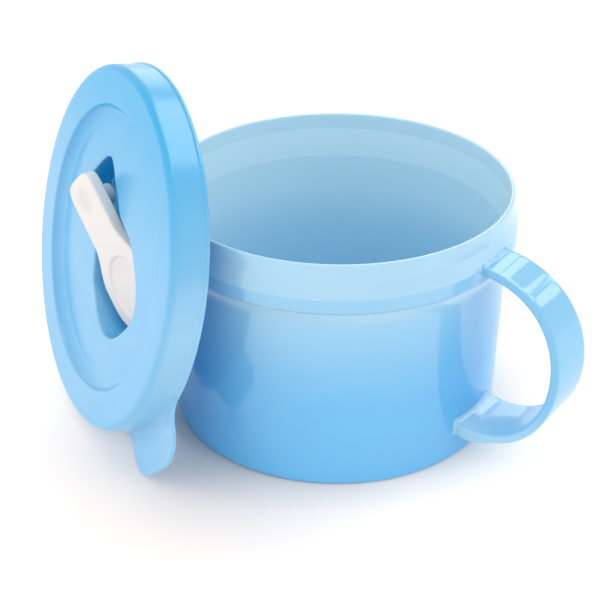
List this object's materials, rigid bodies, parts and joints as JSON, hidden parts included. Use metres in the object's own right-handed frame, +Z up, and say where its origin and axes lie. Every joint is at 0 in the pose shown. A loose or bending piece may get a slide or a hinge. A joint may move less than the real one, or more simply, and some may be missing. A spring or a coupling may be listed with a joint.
{
  "type": "soup mug",
  "caption": "Round plastic soup mug with a strap handle and a collared rim, and a lid with a lifting tab and a rocking steam-vent lever that stands on edge against the mug.",
  "frame": {"origin": "centre of the bowl's flat base, on the surface that it stands on", "axes": "+Z up along the bowl's axis, +X towards the handle"},
  "size_m": [0.2008, 0.1445, 0.1218],
  "materials": {
    "mug_plastic": "smooth satin-gloss, slightly translucent light blue",
    "lid_plastic": "smooth satin, slightly translucent light blue",
    "vent_white": "smooth satin warm white"
  },
  "bodies": {
    "mug": {"bowl": "mug_plastic", "handle": "mug_plastic"},
    "lid": {"lid_skirt": "lid_plastic", "lid_top": "lid_plastic", "vent_pocket": "lid_plastic"},
    "vent_lever": {"vent_lever": "vent_white"}
  },
  "joints": [
    {"name": "lid_lift", "type": "slide", "parent": "mug", "child": "lid", "axis": [0, 0, 1], "range_m": [0, 0.12]},
    {"name": "vent_hinge", "type": "hinge", "parent": "lid", "child": "vent_lever", "pos_m": [-0.05469, -0.04533, 0.06], "axis": [-0.6962, 0.2245, -0.6818], "range_deg": [0, 20.5]}
  ]
}
